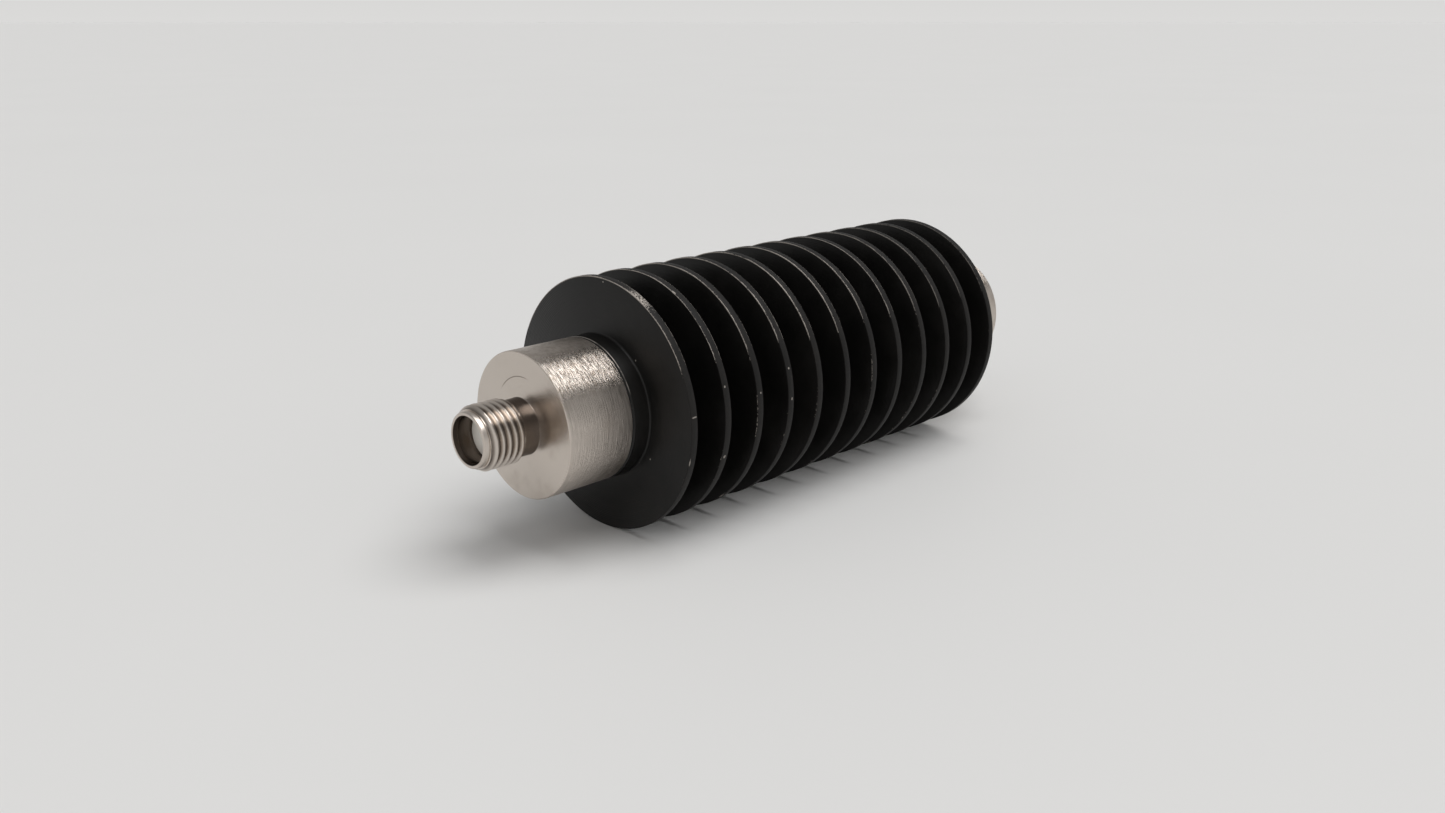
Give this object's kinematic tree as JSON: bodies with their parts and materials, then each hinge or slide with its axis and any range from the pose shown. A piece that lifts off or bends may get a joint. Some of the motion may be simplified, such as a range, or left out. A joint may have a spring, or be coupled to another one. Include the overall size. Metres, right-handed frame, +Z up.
{
  "type": "coaxial attenuator",
  "caption": "Inline coaxial attenuator: a black round finned heat sink with a plain steel end body and a small threaded jack at each end.",
  "frame": {"origin": "on the resting surface, under the middle of the heat sink", "axes": "+X along the axis from the near (input) jack to the far (output) jack, +Z up"},
  "size_m": [0.0814, 0.0254, 0.0254],
  "materials": {
    "black_anodised": "satin black anodised, worn bright on the fin edges",
    "stainless": "turned, fine circular marks",
    "white_dielectric": "waxy white",
    "gold_plate": "gold plated",
    "amber_bead": "moulded, clear amber",
    "plain_brass": "turned",
    "spring_steel": "ground",
    "seal_rubber": "smooth black",
    "card_ceramic": "lapped, with a dark printed film and silver ends",
    "silver_plate": "silver plated"
  },
  "bodies": {
    "root": {"heat_sink": "black_anodised", "input_jack_body": "stainless", "output_jack_body": "stainless", "input_insulator": "white_dielectric", "output_insulator": "white_dielectric", "input_centre_contact": "gold_plate", "output_centre_contact": "gold_plate", "input_support_bead": "amber_bead", "output_support_bead": "amber_bead", "input_line_sleeve": "plain_brass", "output_line_sleeve": "plain_brass", "input_card_clip": "gold_plate", "output_card_clip": "gold_plate", "input_disc_spring": "spring_steel", "output_disc_spring": "spring_steel", "input_seal_ring": "seal_rubber", "output_seal_ring": "seal_rubber", "attenuator_card": "card_ceramic", "upper_carrier": "silver_plate", "lower_carrier": "silver_plate", "front_dowel": "spring_steel", "rear_dowel": "spring_steel"}
  },
  "joints": []
}
